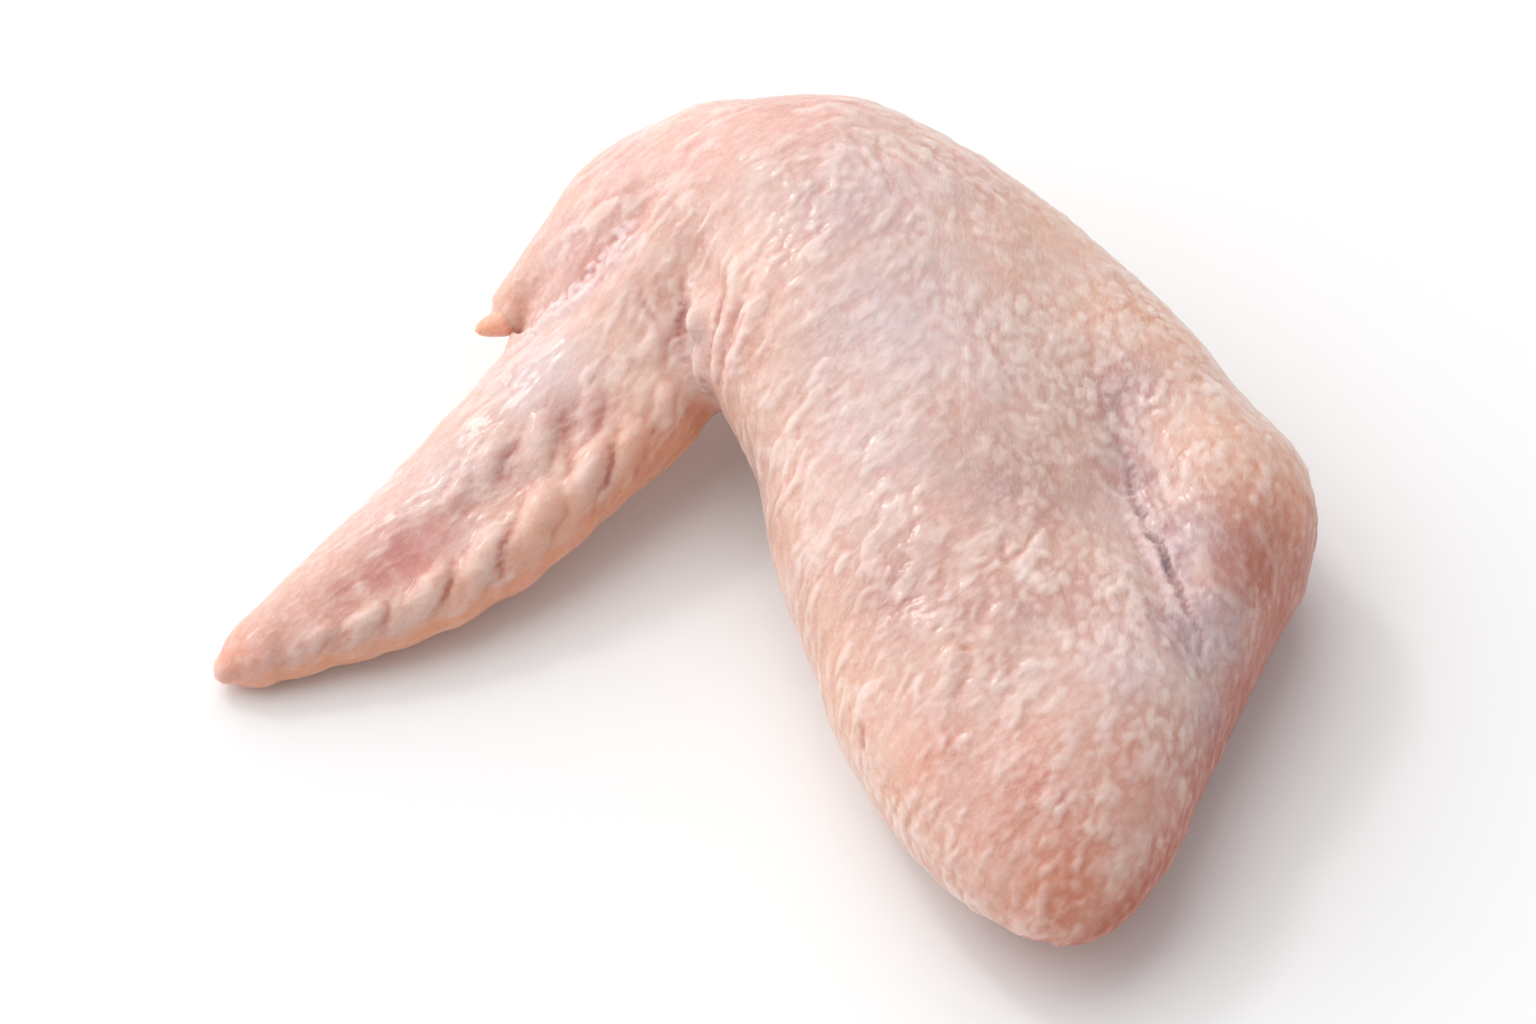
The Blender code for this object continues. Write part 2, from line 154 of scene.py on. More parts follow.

# Folds and creases: points x, y on the upper side, depth (less than 0 for a raised roll), half
# width, raised lips, and the colour laid along it with its strength. The shade colour is painted
# shade, blush and lilac are partly painted shade, and milk is partly a painted highlight
FOLDS = {
    "valley crease": ([(37.4, 4.6), (38.4, 1.1), (39.9, -4.8), (41.8, -10.4), (43.7, -15.0), (45.1, -17.7),
                       (46.2, -22.5)], 0.5, 0.34, 0.3, "shade", 0.8),
    # Painted highlight: the milky colour along the valley's raised lip
    "valley lip": ([(37.6, -0.5), (38.9, -5.0), (40.7, -10.2), (42.5, -15.0), (44.0, -18.5)],
                   -0.3, 0.7, 0.0, "milk_and_highlight", 0.25),
    "valley bottom": ([(35.9, 11.4), (38.2, 3.4), (40.8, -4.4), (43.2, -11.2), (45.7, -18.0), (47.4, -26.3)],
                      0.5, 2.0, 0.0, "lilac_and_shade", 0.55),
    "elbow crease": ([(21.2, -21.4), (20.5, -25.6), (20.1, -29.4), (19.7, -32.7)],
                     0.3, 0.9, 0.1, "blush_and_shade", 0.25),
    "upper elbow crease": ([(24.1, -16.6), (22.8, -19.8), (21.2, -23.1)], 0.25, 1.2, 0.0, "blush_and_shade", 0.25),
    "middle nick": ([(25.5, -8.2), (25.3, -11.7), (24.9, -14.0)], 0.25, 0.4, 0.1, "blush_and_shade", 0.35),
    "left nick": ([(10.3, -28.4), (10.3, -30.6), (11.0, -32.9)], 0.2, 0.4, 0.1, "blush_and_shade", 0.35),
    "thumb slit": ([(-12.0, 37.4), (-14.4, 35.3), (-17.4, 32.3), (-21.1, 29.6), (-24.4, 27.6)],
                   0.1, 0.5, 0.0, "blush_and_shade", 0.3),
    "thumb membrane": ([(-14.0, 33.4), (-16.3, 31.4), (-19.7, 28.6), (-22.3, 27.6), (-25.0, 26.4),
                        (-27.6, 25.0), (-31.0, 21.0)], -0.5, 0.8, 0.0, "milk_and_highlight", 0.5),
    # In the crook, blush in the valleys is partly painted shade and milk on the rolls partly a painted
    # highlight
    "crook valley": ([(-8.9, 27.0), (-8.8, 25.2), (-9.0, 23.4), (-8.6, 20.2), (-8.0, 18.4)],
                     0.45, 0.45, 0.0, "blush_and_shade", 0.35),
    "crook roll": ([(-7.3, 27.0), (-7.1, 23.4), (-7.3, 21.3), (-7.1, 19.4), (-6.7, 17.5)],
                   -1.3, 1.25, 0.0, "milk_and_highlight", 0.15),
    "inner crook valley": ([(-4.4, 24.0), (-5.3, 20.6), (-5.8, 18.9), (-6.3, 17.2)],
                           0.5, 0.4, 0.0, "blush_and_shade", 0.35),
    "second crook roll": ([(-3.2, 24.0), (-3.8, 20.9), (-4.6, 18.6), (-5.5, 16.6), (-5.9, 15.0)],
                          -0.65, 1.05, 0.0, "milk_and_highlight", 0.2),
    "outer crook valley": ([(-2.1, 21.5), (-3.4, 18.4), (-4.2, 16.6), (-5.2, 14.8)],
                           0.35, 0.45, 0.0, "blush_and_shade", 0.35),
    "third crook roll": ([(0.2, 23.0), (-1.1, 19.7), (-2.3, 17.3), (-3.4, 15.0), (-4.4, 13.0)],
                         -0.5, 1.0, 0.0, "milk_and_highlight", 0.15),
    "leaf edge": ([(-13.4, 26.4), (-12.6, 24.4), (-10.9, 21.4)], 0.2, 0.4, 0.0, "blush_and_shade", 0.25),
    "lobe 1": ([(-16.9, 12.2), (-16.4, 9.9), (-17.1, 7.2), (-18.6, 5.1)], 0.2, 0.34, 0.0, "blush_and_shade", 0.4),
    "lobe 2": ([(-21.9, 15.8), (-21.4, 12.2), (-20.9, 6.1)], 0.3, 0.6, 0.0, "blush_and_shade", 0.3),
    "lobe 3": ([(-26.6, 4.6), (-27.6, 1.6), (-28.3, -1.2), (-27.8, -3.0)], 0.25, 0.34, 0.0, "blush_and_shade", 0.4),
    "lobe 4": ([(-33.0, -0.3), (-33.9, -3.4), (-34.7, -5.6)], 0.2, 0.34, 0.0, "blush_and_shade", 0.4),
    "lobe 5": ([(-39.8, -4.0), (-40.3, -7.0), (-40.9, -8.6)], 0.2, 0.34, 0.0, "blush_and_shade", 0.3),
    "leaf 1": ([(-27.6, 11.8), (-28.3, 8.6), (-26.3, 6.3)], 0.25, 0.45, 0.0, "blush_and_shade", 0.3),
}
FOLD_COLOURS = ("lilac_and_shade", "blush_and_shade", "shade", "milk_and_highlight")

# In half widths of a fold: the width of its colour, how far off its lips are, and how far it reaches
FOLD_COLOUR_WIDTH = 1.5
LIP_OFFSET = 2.0
FOLD_REACH = 4.0

# How finely a fold is followed, how it fades at its ends and varies, and how it wavers
FOLD_SAMPLES_PER_STRETCH = 14
FOLD_END_FADE = 0.1
FOLD_FADE_POWER = 0.7
FOLD_STRENGTHS = (0.4, 1.4)
FOLD_WAVER = 0.7
FOLD_WAVER_SIZE = 3.0

# Height over the table from which places of the upper side are found
DROP_HEIGHT = 80.0

# Colours of places of the upper side. Each row: x, y, radius, strength. The tan patches are painted
# shade; mauve, lilac, amber and blush patches are partly the skin's own colour, partly painted shade
PATCHES = {
    "cool": [
        (14.0, 16.0, 11.0, 1.0), (10.0, 30.0, 8.0, 0.85), (12.0, 3.0, 8.0, 0.7), (18.0, 34.0, 6.0, 0.5),
        (-24.0, 20.0, 6.0, 0.9), (-35.0, 10.0, 6.0, 0.5), (38.0, -26.0, 6.0, 0.9),
        (24.0, 10.0, 6.0, 0.6), (47.0, -22.0, 4.0, 0.5), (-16.5, 32.5, 2.5, 0.2), (-22.5, 28.0, 3.0, 0.6),
        (-8.0, 21.0, 3.0, 0.5), (-21.5, 34.5, 3.0, 0.35),
    ],
    "mauve_and_shade": [
        (25.0, -4.0, 9.0, 0.8), (16.0, -15.0, 8.0, 0.95), (10.0, 28.0, 5.0, 0.4), (38.5, 11.0, 5.0, 0.9),
        (27.0, -18.0, 8.0, 0.6), (46.0, -33.0, 6.0, 0.5), (-20.5, 14.0, 3.0, 0.45), (-27.0, 9.5, 3.0, 0.3),
    ],
    "lilac_and_shade": [
        (37.0, 4.0, 4.5, 0.1), (40.5, -3.0, 5.0, 0.5), (44.0, -9.0, 5.5, 0.7), (46.0, -18.0, 5.5, 0.85),
        (47.0, -27.0, 4.0, 0.4),
    ],
    "pink": [
        (-21.0, 35.0, 7.0, 0.55), (4.0, 46.0, 9.0, 0.8), (-8.0, 40.0, 7.0, 0.7), (-40.0, 2.0, 6.0, 0.5),
        (-16.0, 42.0, 6.0, 0.9), (22.0, 38.0, 5.0, 0.4), (-15.0, 33.0, 4.0, 0.7),
    ],
    "rose": [
        (29.0, -42.0, 11.0, 1.0), (18.5, -34.0, 5.0, 0.8), (40.0, -38.0, 8.0, 0.9), (34.0, -20.0, 6.0, 0.4),
        (-56.0, -11.0, 6.0, 1.0), (-49.0, -7.0, 5.0, 0.9), (4.0, 44.0, 7.0, 0.4), (-19.5, 31.8, 2.8, 1.0),
        (-26.5, 31.0, 3.0, 0.5), (-3.5, 16.5, 3.5, 0.35),
    ],
    "peach": [
        (1.5, -4.0, 6.0, 0.4), (7.5, -22.0, 8.0, 1.0), (14.0, -38.0, 6.0, 1.0), (42.0, 18.0, 9.0, 0.9),
        (51.0, 3.0, 8.0, 0.9), (-3.0, 16.0, 6.0, 0.9), (30.0, 33.0, 8.0, 0.5),
    ],
    "amber_and_shade": [
        (-13.0, 10.5, 4.5, 0.75), (-20.8, 2.8, 4.0, 0.85), (-24.0, 1.5, 2.5, 0.6), (-26.5, -1.0, 3.5, 0.5),
        (-32.0, -5.0, 3.0, 0.5), (57.0, -2.0, 6.0, 1.0), (30.0, -50.0, 7.0, 0.6), (-8.0, 14.0, 4.0, 0.7),
        (-57.0, -11.5, 4.0, 0.4), (-28.5, 30.8, 2.0, 0.4), (15.5, -35.0, 3.5, 0.4), (17.0, -15.0, 7.0, 0.2),
    ],
    "blush_and_shade": [
        (-18.6, 14.9, 2.6, 0.35), (-22.3, 15.0, 2.2, 0.3), (-27.6, 8.6, 2.8, 0.3), (-32.6, 4.6, 2.2, 0.4),
        (-35.4, 2.0, 2.8, 0.6), (-38.4, -0.3, 3.8, 0.85), (-41.4, -2.4, 2.8, 0.75), (-44.8, -4.7, 2.2, 0.6),
        (-11.6, 26.0, 2.4, 0.2), (-20.3, 32.4, 1.8, 0.25),
    ],
    "tan": [
        (53.0, -10.0, 7.5, 0.95), (32.0, -51.0, 7.0, 0.5), (45.5, -38.0, 8.5, 1.0), (16.5, -34.0, 4.0, 0.15),
    ],
}

# Painted shade: flanks that face away from the light side are painted darker and browner, amber on
# the hand and tan on the rest: the way they face, where the painted shade starts and is full, and
# where the hand ends in x
AWAY_FROM_LIGHT = (0.6, -0.63, -0.49)
PAINTED_SHADE_RANGE = (0.18, 0.8)
HAND_END = (-8.0, 2.0)

# Clouds of colour and moisture: their sizes, and how strong the finer ones over them are
MOTTLE_SIZE = 9.0
BLOTCH_SIZE = 2.4
MOIST_SIZE = 5.0
FINER_CLOUDS = 0.5

# How far a point lies above its surroundings where it counts as the top of a wrinkle
RELIEF_RANGE = 0.4
RELIEF_CREASES = 0.2
RELIEF_ROUNDS = 16

# Finest grain of the skin, in the material alone: its stretch, its two directions, and its height
GRAIN_STRETCH = (0.45, 1.0, 1.0)
GRAIN_SLANT = math.radians(-45.0)
GRAIN_STEEP = math.radians(-90.0)
GRAIN_NOISE = {"scale": 2.2, "detail": 4.0, "roughness": 0.68, "distortion": 0.5}
GRAIN_HEIGHT = 0.0002

# The cut end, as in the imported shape: the way it faces, and its muscle and bone as oval balls
# with centre x, y, z and half sizes across, up and outward
CUT_FACING = (0.81, 0.58)
MUSCLE = ((47.13, 13.49, 7.6), (12.0, 7.2, 5.6))
BONE = ((45.93, 19.09, 8.8), (4.3, 4.2, 4.2))
CUT_RANGE = (1.02, 1.12)

# The claw: the middle of its bare base, the way it points, its length and radii
CLAW_ROOT = (-28.5, 30.3, 10.8)
CLAW_FACING = (-0.97, -0.17, -0.17)
CLAW_LENGTH = 3.0
CLAW_RADIUS = 1.6
CLAW_TIP_RADIUS = 0.8
CLAW_RINGS = 17
CLAW_SIDES = 20
CLAW_DROOP = 0.3
CLAW_SUNK = 2.4
CLAW_NARROWED = 0.45
CLAW_WIDEST = 0.4
CLAW_BLUNTNESS = 8
CLAW_END_RADIUS = 0.02

# The round end of the thumb's skin, which the claw comes out of: centre, facing and radius, and
# how far and how fully the skin ahead of it is drawn back
THUMB_END = (-27.0, 31.6, 10.6)
THUMB_FACING = (-0.80, -0.56, -0.20)
THUMB_RADIUS = 2.5
THUMB_SIDES = 32
THUMB_REACH = 5.8
THUMB_PULL = 0.85
THUMB_CONE = (0.2, 0.6)

# Frayed skin along the slit of the thumb: how many bits, their radius, height and scatter
FRINGE_LINE = [(-14.4, 34.6), (-17.4, 31.7), (-21.1, 29.1), (-24.6, 27.3)]
FRINGE_BITS = 44
FRINGE_RADIUS = (0.33, 0.65)
FRINGE_STRETCH = 3.0
FRINGE_HEIGHT = (0.15, 0.4)
FRINGE_SPREAD = 0.45
FRINGE_MILK = 0.6

# Colours, as linear red, green and blue
CREAM = (0.73, 0.50, 0.425)
COOL = (0.69, 0.535, 0.54)
# Mauve is the skin's dusky colour, and partly painted shade on the plateau, the roll and the dents
MAUVE_AND_SHADE = (0.47, 0.275, 0.26)
# Lilac is the bluish tone of the crease valley, and partly its painted shade
LILAC_AND_SHADE = (0.43, 0.31, 0.375)
PINK = (0.75, 0.43, 0.39)
ROSE = (0.69, 0.345, 0.275)
PEACH = (0.75, 0.46, 0.34)
# Amber is the orange of fat, and partly painted shade on the hand's lower edges
AMBER_AND_SHADE = (0.82, 0.38, 0.23)
# Blush is the pink of the hand's hollows and creases, and partly their painted shade
BLUSH_AND_SHADE = (0.50, 0.135, 0.12)
# Tan is painted shade: the browner flanks and edges turned from the light
SHADE_TAN = (0.49, 0.11, 0.05)
FLESH = (0.50, 0.18, 0.16)
BONE_COLOUR = (0.74, 0.55, 0.43)
# The crease tint reddens creases and partly darkens them as painted shade
CREASE_TINT_AND_SHADE = (0.90, 0.66, 0.60)
SHADE = (0.26, 0.17, 0.20)
SHADE_SHARPNESS = 3
# Milk is the membrane's milky colour, and partly a painted highlight on the valley lip and crook rolls
MILK_AND_HIGHLIGHT = (0.86, 0.70, 0.71)
PALE = (0.88, 0.74, 0.69)
CLAW_COLOUR = (0.86, 0.38, 0.24)
CLAW_TIP_COLOUR = (0.90, 0.51, 0.38)
TABLE_COLOUR = (0.90, 0.90, 0.90)
TABLE_SPECK_COLOUR = (0.88, 0.88, 0.88)

# Colours of the patches, laid over each other in this order
PLACE_COLOURS = {
    "peach": PEACH,
    "pink": PINK,
    "cool": COOL,
    "rose": ROSE,
    "mauve_and_shade": MAUVE_AND_SHADE,
    "amber_and_shade": AMBER_AND_SHADE,
    "tan": SHADE_TAN,
    "lilac_and_shade": LILAC_AND_SHADE,
    "blush_and_shade": BLUSH_AND_SHADE,
}

# Light: a very broad sun from the left and behind, a small one for glints, and even surroundings
SUN_DIRECTION = (-0.60, 0.42, 0.67)
SUN_STRENGTH = 2.50
SUN_ANGLE = math.radians(100.0)
GLINT_DIRECTION = (-0.46, 0.50, 0.73)
GLINT_STRENGTH = 0.37
GLINT_ANGLE = math.radians(9.0)
SKY_STRENGTH = 0.50
TABLE_SIZE = 20.0

RIGHT = np.array([1.0, 0.0, 0.0])
UP = np.array([0.0, math.sin(VIEW_ELEVATION), math.cos(VIEW_ELEVATION)])

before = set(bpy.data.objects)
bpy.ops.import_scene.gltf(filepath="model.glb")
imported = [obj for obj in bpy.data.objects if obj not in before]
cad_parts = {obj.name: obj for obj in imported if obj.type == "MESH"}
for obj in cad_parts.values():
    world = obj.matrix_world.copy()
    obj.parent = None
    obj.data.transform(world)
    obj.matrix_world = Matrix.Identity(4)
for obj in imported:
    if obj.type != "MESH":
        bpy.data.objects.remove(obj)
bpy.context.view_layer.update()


# Small helpers


def smooth_step(values, start, end):
    """Smooth step from 0 at the start to 1 at the end."""
    share = np.clip((values - start) / (end - start), 0, 1)
    return share * share * (3 - 2 * share)


def unit(vectors):
    """The vectors made 1 long."""
    return vectors / np.maximum(np.linalg.norm(vectors, axis=-1, keepdims=True), TINY)


def lumps(points, size):
    """Smooth noise from about -1 to 1 at each point, in lumps of the size."""
    return np.array([noise.noise(Vector(point)) for point in points / size])


def lump_vectors(points, size):
    """Smooth noise in all three directions at each point, in lumps of the size."""
    return np.array([noise.noise_vector(Vector(point)) for point in points / size])


def with_modifier(mesh, kind, **settings):
    """A new mesh: the given one after one modifier."""
    shaped = bpy.data.objects.new("shaping", mesh)
    bpy.context.scene.collection.objects.link(shaped)
    modifier = shaped.modifiers.new(kind.title(), kind)
    for name, value in settings.items():
        setattr(modifier, name, value)
    graph = bpy.context.evaluated_depsgraph_get()
    result = bpy.data.meshes.new_from_object(shaped.evaluated_get(graph))
    bpy.data.objects.remove(shaped)
    return result


def add_piece(name, mesh, material):
    mesh.name = name
    mesh.materials.clear()
    mesh.materials.append(material)
    mesh.shade_smooth()
    piece = bpy.data.objects.new(name, mesh)
    bpy.context.scene.collection.objects.link(piece)
    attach(piece, "root")
    return piece


# Skin mesh


def packed_skin():
    """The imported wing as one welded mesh, in millimetres, with a ball that rounds its thumb."""
    shape = bmesh.new()
    shape.from_mesh(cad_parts["wing"].data)
    shape.transform(Matrix.Scale(MILLIMETRES_PER_METRE, 4))
    bmesh.ops.remove_doubles(shape, verts=shape.verts, dist=WELD)
    bmesh.ops.create_uvsphere(
        shape, u_segments=THUMB_SIDES, v_segments=THUMB_SIDES // 2, radius=THUMB_RADIUS,
        matrix=Matrix.Translation(THUMB_END),
    )
    mesh = bpy.data.meshes.new("packed")
    shape.to_mesh(mesh)
    shape.free()
    return mesh


class Skin:
    """The fine skin mesh with its points, normals and neighbours as arrays."""

    def __init__(self, mesh):
        self.mesh = mesh
        self.points = np.empty(len(mesh.vertices) * 3)
        mesh.vertices.foreach_get("co", self.points)
        self.points = self.points.reshape(-1, 3)
        edges = np.empty(len(mesh.edges) * 2, np.int32)
        mesh.edges.foreach_get("vertices", edges)
        self.ends = edges.reshape(-1, 2).T
        self.degree = np.bincount(edges, minlength=len(self.points))
        self.update()

    def update(self):
        """Give the mesh the points as they are now, and take its normals."""
        self.mesh.vertices.foreach_set("co", self.points.ravel())
        self.mesh.update()
        self.normals = np.empty(len(self.points) * 3)
        self.mesh.vertex_normals.foreach_get("vector", self.normals)
        self.normals = self.normals.reshape(-1, 3)

    def around(self, values):
        """The mean of each point's neighbours."""
        a, b = self.ends
        count = len(self.points)
        sums = [np.bincount(a, v[b], count) + np.bincount(b, v[a], count) for v in values.T]
        return np.stack(sums, 1) / self.degree[:, None]

    def smoothed(self, values, rounds, share=SHRINK_SHARE):
        """The values after rounds of moving toward the mean of the neighbours."""
        for _ in range(rounds):
            values = values + share * (self.around(values) - values)
        return values

    def melt_facets(self):
        """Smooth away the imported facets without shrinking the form."""
        for _ in range(SMOOTHING_ROUNDS):
            for share in (SHRINK_SHARE, GROW_SHARE):
                self.points = self.smoothed(self.points, 1, share)
        self.update()

    def calm(self):
        """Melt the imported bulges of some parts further."""
        share = np.zeros(len(self.points))
        for x, y, radius, strength in CALMED:
            apart = ((self.points[:, :2] - (x, y)) ** 2).sum(1) / radius ** 2
            share = np.maximum(share, strength * np.exp(-apart ** 2))
        melted = self.smoothed(self.points, CALMING_ROUNDS)
        self.points = self.points + share[:, None] * (melted - self.points)
        self.update()

    def index(self):
        """Search trees over the skin as it is now, the one for wrinkles over wavering points."""
        self.wavering = self.points + WAVER * lump_vectors(self.points, WAVER_SIZE)
        self.tree = KDTree(len(self.points))
        for i, point in enumerate(self.wavering):
            self.tree.insert(point, i)
        self.tree.balance()
        self.faces = [tuple(face.vertices) for face in self.mesh.polygons]
        self.rays = BVHTree.FromPolygons(self.points.tolist(), self.faces)

    def on_top(self, x, y):
        """The skin point of the upper side nearest to x, y."""
        place, _, face, _ = self.rays.ray_cast(Vector((x, y, DROP_HEIGHT)), Vector((0.0, 0.0, -1.0)))
        if face is None:
            place, _, face, _ = self.rays.find_nearest(Vector((x, y, 0.0)))
        return self.faces[face][0]

    def set_mask(self, name, values):
        """Keep the values in the mesh, where the material reads them by name."""
        attribute = self.mesh.attributes.new(name, "FLOAT", "POINT")
        attribute.data.foreach_set("value", values.astype(np.float32))


# Relief


def texture_guides(points):
    """Wrinkle direction and the other texture values, blended between the rows of the table."""
    guides = np.array(TEXTURE, float)
    apart = ((points[:, None, :2] - guides[None, :, :2]) ** 2).sum(2) / TEXTURE_REACH ** 2
    share = np.exp(apart.min(1, keepdims=True) - apart)
    share /= share.sum(1, keepdims=True)
    doubled = 2 * np.radians(guides[:, 2])
    direction = 0.5 * np.arctan2(share @ np.sin(doubled), share @ np.cos(doubled))
    return direction, share @ guides[:, 3:]


def scattered(skin, spacing, rng):
    """Skin points about one spacing apart, picked at random."""
    order = rng.permutation(len(skin.points))
    cells = np.floor(skin.points[order] / spacing + rng.random(3)).astype(int)
    _, first = np.unique(cells, axis=0, return_index=True)
    return order[first]


def near_pairs(skin, at, reach):
    """Every pair of a mark and a skin point within the mark's reach."""
    marks = []
    members = []
    for mark, (i, far) in enumerate(zip(at, reach)):
        hits = [hit[1] for hit in skin.tree.find_range(skin.wavering[i], far)]
        members.extend(hits)
        marks.extend([mark] * len(hits))
    return np.array(marks), np.array(members)


def footprints(skin, at, direction, length, width, bend):
    """Marks, the skin points under each, and how strongly each point is under its mark, 0 to 1."""
    normal = skin.normals[at]
    flow = np.cos(direction)[:, None] * RIGHT + np.sin(direction)[:, None] * UP
    along = unit(flow - normal * (flow * normal).sum(1, keepdims=True))
    across = np.cross(normal, along)
    half = length / 2
    marks, members = near_pairs(skin, at, np.hypot(half, width))
    offset = skin.wavering[members] - skin.wavering[at[marks]]
    v = (offset * along[marks]).sum(1)
    u = (offset * across[marks]).sum(1) + bend[marks] * v ** 2
    w = (offset * normal[marks]).sum(1)
    taper = np.clip(1 - (v / half[marks]) ** 2, 0, 1)
    section = np.clip(1 - (u / width[marks]) ** 2, 0, 1)
    return marks, members, taper * section * np.exp(-(w / STROKE_DEPTH) ** 2)


def pillows(skin, at, direction, length, width, height):
    """Height of single pillows of skin that meet in sharp creases."""
    marks, members, level = footprints(skin, at, direction, length, width, np.zeros(len(at)))
    total = np.bincount(members, (height[marks] * level) ** CROSSING_POWER, len(skin.points))
    return total ** (1 / CROSSING_POWER)


def spread(rng, count, share=SIZE_SPREAD):
    """Random factors around 1."""
    return np.exp(rng.normal(0.0, share, count))


def liveliness(points):
    """How much more or less a place is wrinkled than its surroundings."""
    return np.clip(1 + PATCH_CONTRAST * lumps(points, PATCH_SIZE), *PATCH_LIMITS)


def wrinkles(skin, spacing, size, rng):
    """Wrinkles of skin over level ground, which is 0: about 1 on their tops.

    Many strokes that push the skin in or out are summed up, and what is pushed in stays level.
    """
    at = scattered(skin, spacing, rng)
    direction, values = texture_guides(skin.points[at])
    count = len(at)
    direction = direction + rng.normal(0.0, DIRECTION_SPREAD, count)
    length = size * values[:, 0] * spread(rng, count)
    width = STROKE_WIDTH * size * values[:, 1] * spread(rng, count, SIZE_SPREAD / 2)
    bend = rng.normal(0.0, BEND_SPREAD, count)
    marks, members, level = footprints(skin, at, direction, length, width, bend)
    push = rng.normal(0.0, 1.0, count)
    total = np.bincount(members, push[marks] * level, len(skin.points))
    energy = np.bincount(members, level ** 2, len(skin.points))
    return np.clip(total / np.sqrt(energy + STROKE_FLOOR), 0, WRINKLE_TOP)


def all_wrinkles(skin, rng):
    """Both layers of wrinkles, less than 0 on level ground."""
    total = np.zeros(len(skin.points))
    for spacing, size, height in WRINKLE_LAYERS:
        total = total + height * (wrinkles(skin, spacing, size, rng) - WRINKLE_MEAN)
    return total


def pimples(skin, rng):
    """Small round bumps, up to about 1."""
    at = scattered(skin, PIMPLE_SPACING, rng)
    count = len(at)
    direction = texture_guides(skin.points[at])[0] + rng.normal(0.0, PIMPLE_TURN, count)
    radius = PIMPLE_RADIUS * spread(rng, count, SIZE_SPREAD / 2)
    height = np.clip(spread(rng, count) * liveliness(skin.points[at]), 0, PIMPLE_TOP)
    return pillows(skin, at, direction, radius * PIMPLE_STRETCH, radius, height)


def lobes(skin):
    """Height of the plump lobes of the hand and the gathers in the crook."""
    table = np.array(LOBES)
    at = np.array([skin.on_top(*place) for place in table[:, :2]])
    direction = np.radians(table[:, 2])
    length, width, height = table[:, 3:].T
    return pillows(skin, at, direction, length, width, height)


def fringe(skin, rng):
    """Small frayed bits of skin along the slit between thumb and hand."""
    line = np.array(FRINGE_LINE)
    places = rng.uniform(0, len(line) - 1, FRINGE_BITS)
    spots = np.stack([np.interp(places, np.arange(len(line)), line[:, k]) for k in range(2)], 1)
    spots = spots + rng.normal(0.0, FRINGE_SPREAD, spots.shape)
    at = np.array([skin.on_top(*spot) for spot in spots])
    direction = rng.uniform(0.0, math.pi, len(at))
    radius = rng.uniform(*FRINGE_RADIUS, len(at))
    height = rng.uniform(*FRINGE_HEIGHT, len(at))
    return pillows(skin, at, direction, radius * FRINGE_STRETCH, radius, height)


def fold_line(skin, line):
    """Closely spaced, slightly wavering points of a fold on the upper side."""
    line = np.array(line, float)
    stretches = np.arange(len(line))
    samples = np.linspace(0, len(line) - 1, FOLD_SAMPLES_PER_STRETCH * (len(line) - 1) + 1)
    x = np.interp(samples, stretches, line[:, 0])
    y = np.interp(samples, stretches, line[:, 1])
    path = np.array([skin.points[skin.on_top(*place)] for place in zip(x, y)])
    sway = FOLD_WAVER * lump_vectors(path, FOLD_WAVER_SIZE)
    sway[:, 2] = 0.0
    return path + sway


def fold(skin, line, depth, half_width, lips):
    """Relief of one fold, and how near each skin point is to it, from 0 to 1."""
    path = fold_line(skin, line)
    reach = FOLD_REACH * half_width
    inside = ((skin.points > path.min(0) - reach) & (skin.points < path.max(0) + reach)).all(1)
    near = np.nonzero(inside)[0]
    apart = np.linalg.norm(skin.points[near, None] - path[None], axis=2)
    closest = apart.argmin(1)
    apart = apart.min(1) / half_width
    along = np.linspace(FOLD_END_FADE, math.pi - FOLD_END_FADE, len(path))
    fade = np.sin(along) ** FOLD_FADE_POWER
    fade = fade * np.clip(1 + lumps(path, FOLD_WAVER_SIZE), *FOLD_STRENGTHS)
    fade = fade[closest]
    section = lips * np.exp(-(apart - LIP_OFFSET) ** 2) - np.exp(-apart ** 2)
    relief = np.zeros(len(skin.points))
    relief[near] = depth * fade * section
    nearness = np.zeros(len(skin.points))
    nearness[near] = fade * np.exp(-(apart / FOLD_COLOUR_WIDTH) ** 2)
    return relief, nearness


def all_folds(skin):
    """Relief of all folds together, and how strongly their colours show: painted shade and highlight too."""
    relief = np.zeros(len(skin.points))
    fold_colours = {name: np.zeros(len(skin.points)) for name in FOLD_COLOURS}
    for line, depth, half_width, lips, name, strength in FOLDS.values():
        shape, nearness = fold(skin, line, depth, half_width, lips)
        relief = relief + shape
        fold_colours[name] = np.maximum(fold_colours[name], strength * nearness)
    return relief, fold_colours


def patches(skin, table):
    """Soft round patches of the upper side, the strongest one counting."""
    total = np.zeros(len(skin.points))
    for x, y, radius, strength in table:
        apart = ((skin.points - skin.points[skin.on_top(x, y)]) ** 2).sum(1) / radius ** 2
        total = np.maximum(total, strength * np.exp(-apart))
    return total


def ball_level(points, centre, half_sizes):
    """1 on the surface of an oval ball that is turned the way the cut faces, less inside."""
    facing = np.array([*CUT_FACING, 0.0])
    across = np.array([-CUT_FACING[1], CUT_FACING[0], 0.0])
    offset = points - np.array(centre)
    parts = np.stack([offset @ across, offset[:, 2], offset @ facing], 1)
    return np.linalg.norm(parts / np.array(half_sizes), axis=1)


def round_thumb(points):
    """Round the end of the thumb's skin, so that the claw comes out of it."""
    offset = points - np.array(THUMB_END)
    apart = np.linalg.norm(offset, axis=1)
    ahead = smooth_step(unit(offset) @ np.array(THUMB_FACING), *THUMB_CONE)
    excess = np.where(apart < THUMB_REACH, np.maximum(apart - THUMB_RADIUS, 0), 0)
    return points - (THUMB_PULL * ahead * excess)[:, None] * unit(offset)


